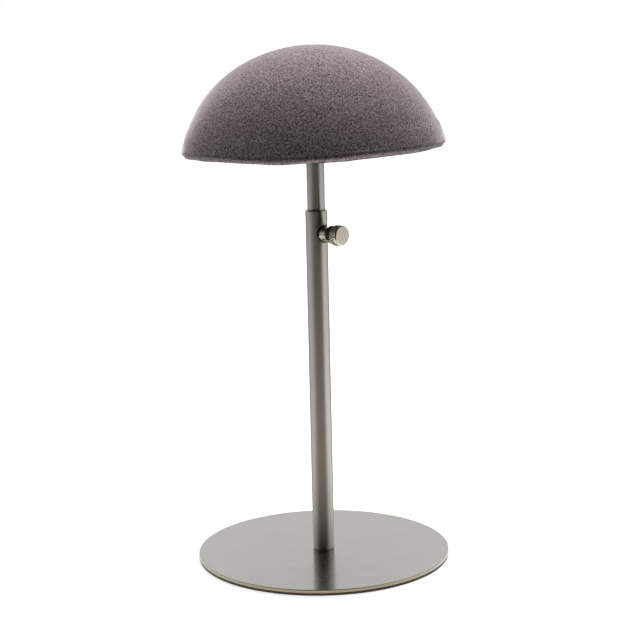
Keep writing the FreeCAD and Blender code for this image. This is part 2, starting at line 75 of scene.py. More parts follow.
def turned_left(degrees):
    """The way towards the camera, turned level to the camera's left."""
    turn = math.radians(degrees)
    return TOWARDS_CAMERA * math.cos(turn) - CAMERA_RIGHT * math.sin(turn)


# The middle of the room's dark side: on the table near the stand, far from it, and above it
NEAR_DARK_WAY = turned_left(-3.0)
FAR_DARK_WAY = turned_left(12.0)
ROOM_DARK_WAY = turned_left(6.0)

# The head sits a little out of true on its screw
HEAD_LEAN = math.radians(1.3)
HEAD_BACK = math.radians(0.7)
HEAD_SHIFT = 1.18 * MM

# Random numbers on each side of the lattice that lumps are drawn on, before it repeats
LATTICE = 64
# Points nearer than this are one, in new pieces and in copies of CAD pieces
SAME_POINT = 1e-7
SAME_CAD_POINT = 1e-6


def smooth_step(share):
    """Eases a share from 0 to 1: three times its square less twice its cube."""
    share = np.clip(share, 0.0, 1.0)
    return share * share * (3.0 - 2.0 * share)


def lumps(points, size, seed):
    """Smooth random heights from -1 to 1: numbers drawn on a lattice of this spacing, blended
    between the eight lattice corners around each point by smooth steps."""
    drawn = np.random.default_rng(seed).uniform(-1.0, 1.0, (LATTICE, LATTICE, LATTICE))
    cell = np.floor(points / size).astype(int)
    share = smooth_step(points / size - cell)
    height = np.zeros(points.shape[:-1])
    for step in np.ndindex(2, 2, 2):
        weight = np.prod(np.where(np.array(step) == 1, share, 1.0 - share), axis=-1)
        x, y, z = np.moveaxis((cell + step) % LATTICE, -1, 0)
        height += weight * drawn[x, y, z]
    return height


def run(corner, *legs):
    """Points on straight stretches of a section: a corner, and then by turns the next corner
    and the number of even steps up to it."""
    points = [corner]
    for end, steps in zip(legs[::2], legs[1::2]):
        points.extend(np.linspace(corner, end, steps + 1)[1:])
        corner = end
    return np.array(points)


def bend(centre, radius, start, end, steps):
    """Points on a round stretch of a section: centre plus radius at evenly spaced angles."""
    turn = np.radians(np.linspace(start, end, steps + 1))
    return np.array(centre) + radius * np.stack([np.cos(turn), np.sin(turn)], -1)


def section(*stretches):
    """The stretches joined end to end, without the doubled points where they meet."""
    points = np.vstack(stretches)
    apart = np.linalg.norm(np.diff(points, axis=0), axis=1) > SAME_POINT
    return points[np.concatenate([[True], apart])]


def distance_along(points):
    """How far each point lies from the first, along the straight pieces between them."""
    return np.concatenate([[0.0], np.cumsum(np.linalg.norm(np.diff(points, axis=0), axis=1))])


def full_turn(columns):
    """Evenly spaced turns about an axis, from 0 up to the last before the whole turn."""
    return np.linspace(0.0, 2.0 * np.pi, columns, endpoint=False)


def about_pole(outline, columns):
    """Each point or way of a section, as (radius, height), turned about the Z axis."""
    turn = full_turn(columns)
    radius, height = outline[:, :1], outline[:, 1:]
    return np.stack([radius * np.cos(turn), radius * np.sin(turn), height + 0.0 * turn], -1)


def facing_of(turn):
    """Turns about the pole as degrees from the camera's side, from -180 to 180."""
    facing = turn - math.atan2(TOWARDS_CAMERA.y, TOWARDS_CAMERA.x)
    return np.degrees((facing + np.pi) % (2.0 * np.pi) - np.pi)


def bell(value, middle, reach):
    """1 at the middle, falling off to both sides as a bell does: 0.37 at the reach."""
    return np.exp(-(((value - middle) / reach) ** 2))


def add_object(name, data):
    made = bpy.data.objects.new(name, data)
    bpy.context.collection.objects.link(made)
    return made


def rows_of(items, name):
    """A named place of each of a mesh's points or faces, a row of three numbers for each."""
    read = np.empty(len(items) * 3)
    items.foreach_get(name, read)
    return read.reshape(-1, 3)


def merge_points(mesh, gap, outwards=False):
    """Makes one point of those that lie within the gap, and may turn the faces outwards."""
    shell = bmesh.new()
    shell.from_mesh(mesh)
    bmesh.ops.remove_doubles(shell, verts=shell.verts, dist=gap)
    if outwards:
        bmesh.ops.recalc_face_normals(shell, faces=shell.faces)
    shell.to_mesh(mesh)
    shell.free()


def keep_attribute(mesh, name, values):
    """Keeps a number for each of the mesh's points, which its material reads by this name."""
    kept = mesh.attributes.new(name, "FLOAT", "POINT")
    kept.data.foreach_set("value", values.astype(np.float32).ravel())


def make_piece(name, points, looped=False, map_of=None, painted_light_and_shade=None):
    """A mesh of quads between neighbours in a grid of points, closed round its columns, and
    along its stations too where it is looped. Its map holds, at each face corner, the distance
    along the section and the distance round it, or what map_of makes of the corner's place. The
    last argument is a number for each point, kept as an attribute of painted light and shade."""
    stations, columns = points.shape[:2]
    row, column = np.meshgrid(
        np.arange(stations if looped else stations - 1), np.arange(columns), indexing="ij"
    )
    row = np.stack([row, row, row + 1, row + 1], -1).reshape(-1, 4)
    column = np.stack([column, column + 1, column + 1, column], -1).reshape(-1, 4)
    quads = row % stations * columns + column % columns
    mesh = bpy.data.meshes.new(name)
    mesh.from_pydata(points.reshape(-1, 3).tolist(), [], quads.tolist())
    if map_of is None:
        travelled = distance_along(np.concatenate([points[:, 0], points[:1, 0]]))
        around = np.linalg.norm(points[:, 1] - points[:, 0], axis=-1).max() * column
        places = np.stack([travelled[row], around], -1)
    else:
        places = map_of(points.reshape(-1, 3)[quads])
    layer = mesh.uv_layers.new(name="lie")
    layer.data.foreach_set("uv", places.astype(np.float32).ravel())
    if painted_light_and_shade is not None:
        keep_attribute(mesh, "painted_light_and_shade", painted_light_and_shade)
    merge_points(mesh, SAME_POINT, outwards=True)
    mesh.polygons.foreach_set("use_smooth", [True] * len(mesh.polygons))
    mesh.update()
    return add_object(name, mesh)


def dress(piece, material, node):
    """Gives a new piece its material, and the body of the CAD node it stands for."""
    piece.data.materials.append(material)
    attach(piece, body_of[node])
    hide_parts(node)


# Each CAD node's body, and the thumb screw's height
body_of = {
    node: body
    for body, nodes in frame["record"]["behaviour"]["bodies"].items()
    for node in nodes
}
boss_low, boss_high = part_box("clamp_boss")
SCREW_HEIGHT = (boss_low.z + boss_high.z) / 2


# Materials

def new_material(name):
    material = bpy.data.materials.new(name)
    material.use_nodes = True
    tree = material.node_tree
    return material, tree, tree.nodes["Principled BSDF"]


def set_inputs(tree, node, inputs):
    """Sets each of the node's input sockets to a value, or links it to another node's socket. A
    colour is given as three numbers."""
    for name, value in inputs.items():
        socket = node.inputs[name]
        if isinstance(value, bpy.types.NodeSocket):
            tree.links.new(value, socket)
        else:
            socket.default_value = (*value, 1.0) if socket.type == "RGBA" else value


def add_node(tree, kind, inputs=None, **settings):
    """A shader node with its settings, and with its input sockets given by name or by place."""
    made = tree.nodes.new("ShaderNode" + kind)
    for name, value in settings.items():
        setattr(made, name, value)
    set_inputs(tree, made, inputs or {})
    return made


def object_place(tree):
    return add_node(tree, "TexCoord").outputs["Object"]


def grain(tree, scale, stretch=(1.0, 1.0, 1.0), turn=0.0, detail=2.0, rough=0.5):
    """Noise on Object coordinates, turned about Z and then drawn out by its stretch."""
    turned = add_node(tree, "Mapping", {"Vector": object_place(tree), "Rotation": (0.0, 0.0, turn)})
    drawn = add_node(tree, "Mapping", {"Vector": turned.outputs[0], "Scale": stretch})
    return add_node(
        tree, "TexNoise",
        {"Vector": drawn.outputs[0], "Scale": scale, "Detail": detail, "Roughness": rough},
    ).outputs["Fac"]


def between(tree, value, low, high, start=0.0, end=1.0, kind="LINEAR"):
    """The value's stretch from start to end, spread over low to high."""
    return add_node(
        tree, "MapRange",
        {"Value": value, "From Min": start, "From Max": end, "To Min": low, "To Max": high},
        interpolation_type=kind,
    ).outputs[0]


def mixed(tree, share, first, second):
    """The first number where the share is 0, and the second where it is 1."""
    return add_node(tree, "Mix", {0: share, 2: first, 3: second}, data_type="FLOAT").outputs[0]


def multiplied(tree, first, second):
    return add_node(tree, "Math", {0: first, 1: second}, operation="MULTIPLY").outputs[0]


def blend_colours(tree, share, first, second):
    return add_node(tree, "Mix", {0: share, 6: first, 7: second}, data_type="RGBA").outputs[2]


def relief(tree, height, strength, depth):
    return add_node(
        tree, "Bump", {"Height": height, "Strength": strength, "Distance": depth}
    ).outputs[0]


def scaled(tint, factor):
    return [min(1.0, part * factor) for part in tint]


def contrast(tree, noise, start=0.3, end=0.7):
    """The noise's middle values, where nearly all of it lies, spread over 0 to 1."""
    return between(tree, noise, 0.0, 1.0, start, end)


def two_tones(tree, share, tint, spread):
    """The tint, darker by the spread where the share is 0 and lighter by it where it is 1."""
    return blend_colours(tree, share, scaled(tint, 1.0 - spread), scaled(tint, 1.0 + spread))


def kept_number(tree, name):
    """A number that the piece's mesh keeps for each of its points."""
    return add_node(tree, "Attribute", attribute_name=name).outputs["Fac"]


def brushed_steel(name, tint, stretch, rough, drawn_out, turn=0.0, painted_reflection=None):
    """Steel with fine scratches one way: the noise is long along them and short across, and the
    highlight is drawn out along the piece's map, square to them. The last argument is the colour
    of a painted dark reflection, shown where the piece's own attribute of that name is 1."""
    material, tree, shader = new_material(name)
    scratches = grain(tree, scale=1.0, stretch=stretch, turn=turn, detail=3.0, rough=0.65)
    clouds = grain(tree, scale=55.0)
    tangent = add_node(tree, "Tangent", direction_type="UV_MAP", uv_map="lie")
    share = contrast(tree, mixed(tree, share=0.35, first=scratches, second=clouds))
    tone = two_tones(tree, share, tint, spread=0.05)
    # The painted dark reflection, where the piece's attribute is 1
    if painted_reflection is not None:
        tone = blend_colours(tree, kept_number(tree, "painted_reflection"), tone, painted_reflection)
    set_inputs(tree, shader, {
        "Metallic": 1.0,
        "Anisotropic": drawn_out,
        "Tangent": tangent.outputs[0],
        "Base Color": tone,
        "Roughness": between(tree, share, rough * 0.85, rough * 1.15),
        "Normal": relief(tree, scratches, strength=0.12, depth=0.02 * MM),
    })
    return material


def plain_finish(name, tint, rough, scale, metallic=0.0, spread=0.12, depth=0.02 * MM):
    """A dull or machined finish: a fine grain in its tone, its gloss and its relief."""
    material, tree, shader = new_material(name)
    speckle = grain(tree, scale, detail=3.0, rough=0.6)
    share = contrast(tree, speckle)
    set_inputs(tree, shader, {
        "Metallic": metallic,
        "Base Color": two_tones(tree, share, tint, spread),
        "Roughness": between(tree, share, rough * 0.88, min(1.0, rough * 1.1)),
        "Normal": relief(tree, speckle, strength=0.5, depth=depth),
    })
    return material


def plated_finish():
    """Champagne nickel with fine turning marks about the screw's axis, darker and rougher deep in
    the knurl's grooves and as painted shade on the neck, as much as the piece's own attribute says."""
    material, tree, shader = new_material("champagne_nickel")
    centre, flat = (0.0, 0.0, -SCREW_HEIGHT), (0.0, 1.0, 1.0)
    off_axis = add_node(
        tree, "Mapping", {"Vector": object_place(tree), "Location": centre, "Scale": flat}
    ).outputs[0]
    radius = add_node(tree, "VectorMath", {0: off_axis}, operation="LENGTH")
    rings = add_node(
        tree, "TexNoise", {"W": radius.outputs["Value"], "Scale": 1500.0, "Detail": 2.0},
        noise_dimensions="1D",
    ).outputs["Fac"]
    speckle = grain(tree, scale=700.0, detail=3.0, rough=0.6)
    marks = mixed(tree, share=0.35, first=rings, second=speckle)
    clean = blend_colours(tree, contrast(tree, marks), (0.80, 0.735, 0.60), (0.93, 0.86, 0.71))
    # Darker deep in the knurl's grooves, and painted shade on the neck
    groove_dark_and_neck_shade = kept_number(tree, "groove_dark_and_neck_shade")
    set_inputs(tree, shader, {
        "Metallic": 1.0,
        "Base Color": blend_colours(tree, groove_dark_and_neck_shade, clean, (0.05, 0.04, 0.03)),
        "Roughness": between(tree, groove_dark_and_neck_shade, 0.2, 0.6),
        "Normal": relief(tree, marks, strength=0.3, depth=0.01 * MM),
    })
    return material


def suede_finish():
    """Short dense nap: pale fibre ends and dark pits about a millimetre apart, cloudy where it
    was stroked, with the soft light edge of fibres seen from the side. The piece's own
    attribute scales its tone: darker as painted shade, lighter as painted light."""
    material, tree, shader = new_material("mauve_suede")
    pits = grain(tree, scale=1500.0, detail=1.0, rough=0.6)
    tufts = grain(tree, scale=800.0, detail=2.0, rough=0.6)
    strokes = grain(tree, scale=60.0, detail=3.0, rough=0.6)
    fine = mixed(tree, share=0.6, first=pits, second=tufts)
    share = contrast(tree, fine, 0.4, 0.6)
    nap = blend_colours(tree, share, (0.060, 0.045, 0.048), (0.300, 0.247, 0.261))
    cloud = contrast(tree, strokes, 0.35, 0.65)
    shaded = blend_colours(tree, cloud, (0.90, 0.90, 0.91), (1.0, 0.99, 0.99))
    tone = add_node(
        tree, "Mix", {0: 1.0, 6: nap, 7: shaded}, data_type="RGBA", blend_type="MULTIPLY"
    ).outputs[2]
    # Scaled by the painted light and shade kept on the piece
    tone = add_node(
        tree, "VectorMath", {0: tone, "Scale": kept_number(tree, "painted_light_and_shade")}, operation="SCALE"
    ).outputs["Vector"]
    set_inputs(tree, shader, {
        "Base Color": tone,
        "Roughness": 0.95,
        "Specular IOR Level": 0.15,
        "Sheen Weight": 0.8,
        "Sheen Roughness": 0.3,
        "Sheen Tint": (0.92, 0.84, 0.87),
        "Normal": relief(tree, fine, strength=0.9, depth=0.35 * MM),
    })
    return material


def woven_finish(name, tint):
    """A plain weave: two sets of threads at right angles, each a run of waves in Object x or y."""
    material, tree, shader = new_material(name)
    place = object_place(tree)
    warp, weft = [
        add_node(
            tree, "TexWave",
            {"Vector": place, "Scale": 480.0, "Distortion": 0.6, "Detail": 1.0},
            wave_type="BANDS", bands_direction=way,
        ).outputs["Fac"]
        for way in ("X", "Y")
    ]
    weave = multiplied(tree, warp, weft)
    share = mixed(tree, share=0.4, first=weave, second=grain(tree, scale=700.0))
    set_inputs(tree, shader, {
        "Base Color": two_tones(tree, share, tint, spread=0.3),
        "Roughness": 0.9,
        "Specular IOR Level": 0.2,
        "Sheen Weight": 0.1,
        "Normal": relief(tree, share, strength=0.5, depth=0.1 * MM),
    })
    return material


def plywood_finish():
    """Thin plies one on another, each with grain drawn out along X."""
    material, tree, shader = new_material("birch_plywood")
    plies = add_node(
        tree, "TexWave", {"Vector": object_place(tree), "Scale": 110.0, "Distortion": 0.4},
        wave_type="BANDS", bands_direction="Z",
    ).outputs["Fac"]
    streaks = grain(tree, scale=1.0, stretch=(30.0, 420.0, 420.0), detail=3.0)
    share = mixed(tree, share=0.6, first=plies, second=streaks)
    set_inputs(tree, shader, {
        "Base Color": blend_colours(tree, share, (0.42, 0.28, 0.15), (0.66, 0.49, 0.31)),
        "Roughness": 0.65,
        "Normal": relief(tree, streaks, strength=0.3, depth=0.05 * MM),
    })
    return material


# The plate was laid down with its brushing across the camera's view
ACROSS_VIEW = -CAMERA_TURN
plate_steel = brushed_steel(
    "brushed_plate", (0.55, 0.53, 0.505), (60.0, 2600.0, 2600.0), turn=ACROSS_VIEW,
    rough=0.26, drawn_out=0.95,
)
# The cut edge's tone: a cut finish, darker and warmer than the top partly as painted shade of the
# dim floor it faces
cut_edge_partly_shaded = brushed_steel(
    "cut_plate_edge_partly_shaded", (0.43, 0.395, 0.31), (60.0, 60.0, 2600.0), rough=0.3, drawn_out=0.4,
)
# Nearly black: painted shade on the plate's lower lip, where the edge meets its shadow
painted_shade_lip = plain_finish(
    "plate_lip_painted_shade", (0.085, 0.075, 0.05), 0.45, 500.0, metallic=1.0, spread=0.35,
)
# Its dark second colour is a painted reflection of the knob and boss beside the boss
tube_steel = brushed_steel(
    "brushed_tube", (0.62, 0.59, 0.55), (120.0, 120.0, 2600.0), rough=0.34,
    drawn_out=1.0, painted_reflection=(0.08, 0.068, 0.058),
)
boss_steel = brushed_steel(
    "turned_boss", (0.66, 0.63, 0.58), (2600.0, 120.0, 120.0), rough=0.32, drawn_out=0.3,
)
# Nearly black: painted shade in the corner where the boss meets the tube
weld_painted_shade = plain_finish(
    "weld_with_painted_shade", (0.07, 0.058, 0.05), 0.5, 600.0, metallic=1.0, spread=0.4, depth=0.06 * MM,
)
screw_steel = plain_finish("turned_steel", (0.5, 0.5, 0.51), 0.32, 900.0, metallic=1.0)
nickel = plated_finish()
nylon = plain_finish("natural_nylon", (0.78, 0.77, 0.73), 0.5, 500.0, spread=0.04)
fibre = plain_finish("black_fibre", (0.03, 0.028, 0.026), 0.8, 1200.0, spread=0.4)
foam_rubber = plain_finish(
    "black_foam", (0.02, 0.02, 0.022), 0.92, 1500.0, spread=0.5, depth=0.1 * MM
)
shell_plastic = plain_finish("moulded_white", (0.75, 0.75, 0.73), 0.45, 300.0, spread=0.03)
padding_foam = plain_finish(
    "pale_foam", (0.6, 0.59, 0.56), 0.95, 1100.0, spread=0.15, depth=0.15 * MM
)
suede = suede_finish()
lining_cloth = woven_finish("lining_weave", (0.03, 0.027, 0.028))
plywood = plywood_finish()

# The CAD pieces whose surfaces are kept, the last five as leaned copies
carried_over = {
    "foot_screw": screw_steel,
    "foot_plug": screw_steel,
    "guide_bush": nylon,
    "tube_insert": screw_steel,
    "head_stud": screw_steel,
    "head_washer": fibre,
    "flange_nut": screw_steel,
    "flange_screws": screw_steel,
    "head_board": plywood,
    "head_shell": shell_plastic,
    "head_padding": padding_foam,
}
for node, material in carried_over.items():
    mesh = frame["nodes"][node].data
    mesh.materials.clear()
    mesh.materials.append(material)


# The base plate

PLATE_EDGE = 0.5 * MM
PLATE_HOLE = 3.1 * MM
PLATE_SINK = 6.4 * MM
# The least of the plate left above its countersink, and the flat ring inside its rounded edge
PLATE_LEFT = 0.2 * MM
PLATE_MARGIN = 1.0 * MM
PLATE_COLUMNS = 360
# How far in from the edge the cut finish reaches, and how far up the lip painted dark as shade goes
EDGE_REACH = 0.3 * MM
SHADED_LIP_HEIGHT = 0.85 * MM
PAD_SETBACK = 0.3 * MM
PAD_HOLE = 12.0 * MM
PAD_CHAMFER = 0.2 * MM
PAD_COLUMNS = 240


def make_base_plate():
    """A flat ring with rounded edges and a countersunk hole, turned about Z. On its flat faces
    the map's first number is the distance towards the camera's side, square to the brushing,
    and on its edge it is the height. The edge has a cut finish, darker and warmer partly as
    painted shade, and its lower lip is painted nearly black as shade."""
    low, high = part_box("base_plate")
    radius, bottom, top = high.x, low.z, high.z
    inner = radius - PLATE_EDGE
    sink_top = min(bottom + PLATE_SINK - PLATE_HOLE, top - PLATE_LEFT)
    outline = section(
        run((PLATE_HOLE, top), (inner - PLATE_MARGIN, top), 40, (inner, top), 2),
        bend((inner, top - PLATE_EDGE), PLATE_EDGE, 90, 0, 8),
        run((radius, top - PLATE_EDGE), (radius, bottom + PLATE_EDGE), 6),
        bend((inner, bottom + PLATE_EDGE), PLATE_EDGE, 0, -90, 8),
        run((inner, bottom), (PLATE_SINK, bottom), 12, (PLATE_HOLE, sink_top), 4),
    )

    def lie(corners):
        across = corners @ np.array(CAMERA_RIGHT)
        depth = corners @ np.array(TOWARDS_CAMERA)
        turn = np.unwrap(np.arctan2(corners[..., 1], corners[..., 0]), axis=-1)
        wall = np.linalg.norm(corners[..., :2], axis=-1).min(axis=-1, keepdims=True) > inner
        return np.stack(
            [np.where(wall, corners[..., 2], depth), np.where(wall, turn * radius, across)], -1
        )

    piece = make_piece("brushed_base_plate", about_pole(outline, PLATE_COLUMNS), True, lie)
    dress(piece, plate_steel, "base_plate")
    piece.data.materials.append(cut_edge_partly_shaded)
    piece.data.materials.append(painted_shade_lip)
    cut_slot, shaded_lip_slot = 1, 2
    middles = rows_of(piece.data.polygons, "center")
    from_axis = np.hypot(middles[:, 0], middles[:, 1])
    on_edge = from_axis > radius - EDGE_REACH
    # The lower lip takes the painted shade
    on_shaded_lip = (from_axis > radius - 2.0 * EDGE_REACH) & (middles[:, 2] < bottom + SHADED_LIP_HEIGHT)
    finish = np.where(on_shaded_lip, shaded_lip_slot, cut_slot * on_edge)
    piece.data.polygons.foreach_set("material_index", finish.astype(np.int32))


def make_base_pad():
    """The foam ring under the plate, turned about Z, pressed out nearly to the plate's edge."""
    low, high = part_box("base_pad")
    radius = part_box("base_plate")[1].x - PAD_SETBACK
    outline = run(
        (PAD_HOLE, high.z), (radius, high.z), 12, (radius, low.z + PAD_CHAMFER), 4,
        (radius - PAD_CHAMFER, low.z), 2, (PAD_HOLE, low.z), 12,
    )
    piece = make_piece("foam_base_pad", about_pole(outline, PAD_COLUMNS), True)
    dress(piece, foam_rubber, "base_pad")


make_base_plate()
make_base_pad()


# The pole

TUBE_COLUMNS = 144
# Enough for the painted dark reflection to fade smoothly
TUBE_STATIONS = 160
MOUTH_ROUND = 1.0 * MM
TUBE_CHAMFER = 0.12 * MM
FOOT_SEAM = 0.45 * MM
OUTER_WALL = 1.2 * MM
INNER_WALL = 1.0 * MM
# A painted dark reflection of the knob and boss on the tube beside the boss: its strength, and
# the middle and reach of the spot's bells, by degrees from the camera's side and by height
PAINTED_REFLECTION_STRENGTH = 0.85
PAINTED_REFLECTION_SIDE = (13.0, 15.0)
PAINTED_REFLECTION_PLACE = (SCREW_HEIGHT + 5.0 * MM, 13.0 * MM)


def tube_outline(radius, wall, bottom, top, seam):
    """A tube's wall in section: rounded at the mouth, and drawn in at the foot by its seam."""
    inner = radius - wall
    return section(
        run(
            (radius - seam, bottom), (radius - seam, bottom + seam), 2,
            (radius, bottom + seam), 2, (radius, top - MOUTH_ROUND), TUBE_STATIONS,
        ),
        bend((radius - MOUTH_ROUND, top - MOUTH_ROUND), MOUTH_ROUND, 0, 90, 8),
        run(
            (radius - MOUTH_ROUND, top), (inner + TUBE_CHAMFER, top), 2,
            (inner, top - TUBE_CHAMFER), 2, (inner, bottom), 40,
        ),
    )


def make_tube(name, node, wall, seam, painted_reflection_strength=0.0):
    """A tube's wall turned about Z. Its attribute is a soft dark spot beside the clamp's weld, a
    painted reflection of the knob and boss: a bell in the turn times a bell in the height."""
    low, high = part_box(node)
    outline = tube_outline(high.y, wall, low.z, high.z, seam)
    piece = make_piece(name, about_pole(outline, TUBE_COLUMNS), True)
    dress(piece, tube_steel, node)
    places = rows_of(piece.data.vertices, "co")
    facing = facing_of(np.arctan2(places[:, 1], places[:, 0]))
    # Painted dark reflection of the knob and boss, fixed beside the boss towards the camera's side
    spot = bell(facing, *PAINTED_REFLECTION_SIDE) * bell(places[:, 2], *PAINTED_REFLECTION_PLACE)
    keep_attribute(piece.data, "painted_reflection", painted_reflection_strength * spot)


make_tube("brushed_outer_tube", "outer_tube", OUTER_WALL, FOOT_SEAM, PAINTED_REFLECTION_STRENGTH)
make_tube("brushed_inner_tube", "inner_tube", INNER_WALL, TUBE_CHAMFER)


# The clamp: a welded boss, the screw's thread and its knurled head

BOSS_COLUMNS = 96
BOSS_STATIONS = 31
BOSS_CHAMFER = 0.4 * MM
BOSS_BORE = 2.55 * MM
# How deep the boss's foot stands in the tube's wall
BOSS_SINK = 0.15 * MM
# The weld swells over a share of the boss's length, and more above and below than at its sides;
# its nearly black finish, painted shade of the corner, reaches this far from the tube, and stays
# clear of the bore
BOSS_WELD = 1.0 * MM
WELD_SHARE = 0.34
WELD_TALLER = 1.1
WELD_REACH = 0.75 * MM
WELD_CLEARANCE = 1.0 * MM
STUD_COLUMNS = 48
STUD_STATIONS = 150
STUD_PITCH = 0.8 * MM
STUD_DEPTH = 0.43 * MM
STUD_TIP = 1.75 * MM
STUD_TIP_LENGTH = 1.2 * MM
STUD_TIP_CHAMFER = 0.2 * MM
KNOB_COLUMNS = 432
KNOB_BORE = 2.52 * MM
KNOB_CHAMFER = 1.1 * MM
# The least ring round the middle of the knob's face
KNOB_CENTRE = 0.3 * MM
COLLAR_RADIUS = 6.25 * MM
COLLAR_LENGTH = 2.4 * MM
COLLAR_ROUND = 0.3 * MM
FLARE_LENGTH = 2.8 * MM
FLARE_POWER = 1.6
FLARE_STATIONS = 15
KNURL_DEPTH = 0.6 * MM
KNURL_STARTS = 24
KNURL_SLOPE = 0.62
GROOVE_SLOPE = 2.5
# The knurl rises before the grip starts, and fades before it ends
KNURL_EARLY = 0.9 * MM
KNURL_RISE = 0.4 * MM
KNURL_SHORT = 0.6 * MM
KNURL_FALL = 0.3 * MM
# A groove darkens from this share of its depth. Painted shade covers the neck up to a little
# before the grip, and fades out below a line under the screw's axis
GROOVE_DARK_SHARE = 0.7
NECK_PAINTED_SHADE = 0.95
NECK_SHORT = 0.5 * MM
NECK_SKIN = 0.1 * MM
NECK_SHADE_LINE = 4.4 * MM
NECK_SHADE_FADE = 1.9 * MM


def round_screw(distance, radius, turn):
    """Points by their distance along the screw's axis, which is along +X, their radius from it
    and their turn about it."""
    up = SCREW_HEIGHT + radius * np.sin(turn)
    return np.stack([distance + 0.0 * turn, radius * np.cos(turn), up], -1)


def about_screw(outline, columns):
    """The section's (radius, distance) points turned about the screw's axis."""
    return round_screw(outline[:, 1:], outline[:, :1], full_turn(columns))


def from_screw(places):
    """How far each place lies from the screw's axis."""
    return np.hypot(places[:, 1], places[:, 2] - SCREW_HEIGHT)


def make_clamp_boss():
    """A round boss: each line along it starts on the pole, at the square root of the pole's
    radius squared less the line's own sideways reach squared, and swells there by the weld."""
    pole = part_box("outer_tube")[1].y
    radius = (boss_high.z - boss_low.z) / 2
    face = boss_high.x
    turn = full_turn(BOSS_COLUMNS)
    share = np.linspace(0.0, 1.0, BOSS_STATIONS)[:, None]
    taller = 1.0 + WELD_TALLER * np.sin(turn) ** 2
    swell = BOSS_WELD * taller * np.clip(1.0 - share / WELD_SHARE, 0.0, 1.0) ** 2
    sideways = (radius + swell) * np.cos(turn)
    start = np.sqrt(pole**2 - sideways**2) - BOSS_SINK
    end = face - BOSS_CHAMFER
    wall = round_screw(start + (end - start) * share, radius + swell, turn)
    front = run(
        (radius, end), (radius - BOSS_CHAMFER, face), 3, (BOSS_BORE, face), 4, (BOSS_BORE, pole), 4,
    )
    front = about_screw(front, BOSS_COLUMNS)[1:]
    piece = make_piece("welded_clamp_boss", np.concatenate([wall, front]))
    dress(piece, boss_steel, "clamp_boss")
    piece.data.materials.append(weld_painted_shade)
    middles = rows_of(piece.data.polygons, "center")
    from_pole = np.hypot(middles[:, 0], middles[:, 1]) - pole
    # The faces near the tube take the painted shade of the corner
    in_weld_shade = (from_pole < WELD_REACH) & (from_screw(middles) > BOSS_BORE + WELD_CLEARANCE)
    piece.data.polygons.foreach_set("material_index", in_weld_shade.astype(np.int32))


def make_clamp_stud():
    """A screw thread: the radius falls and rises in a V along the axis once each pitch, and the
    V's place moves on by one pitch for each turn. A plain tip stands before it."""
    low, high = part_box("clamp_stud")
    radius = high.y
    distance = np.linspace(low.x + STUD_TIP_LENGTH, high.x, STUD_STATIONS)[:, None]
    turn = full_turn(STUD_COLUMNS)
    wave = (distance / STUD_PITCH - turn / (2.0 * np.pi)) % 1.0
    depth = STUD_DEPTH * (1.0 - np.abs(2.0 * wave - 1.0))
    thread = round_screw(distance, radius - depth, turn)
    tip = run(
        (0.0, low.x), (STUD_TIP - STUD_TIP_CHAMFER, low.x), 3,
        (STUD_TIP, low.x + STUD_TIP_CHAMFER), 2, (STUD_TIP, low.x + STUD_TIP_LENGTH), 3,
    )
    end = run((radius - STUD_DEPTH, high.x), (0.0, high.x), 2)
    tip, end = about_screw(tip, STUD_COLUMNS), about_screw(end, STUD_COLUMNS)
    piece = make_piece("threaded_clamp_stud", np.concatenate([tip, thread, end]))
    dress(piece, screw_steel, "clamp_stud")


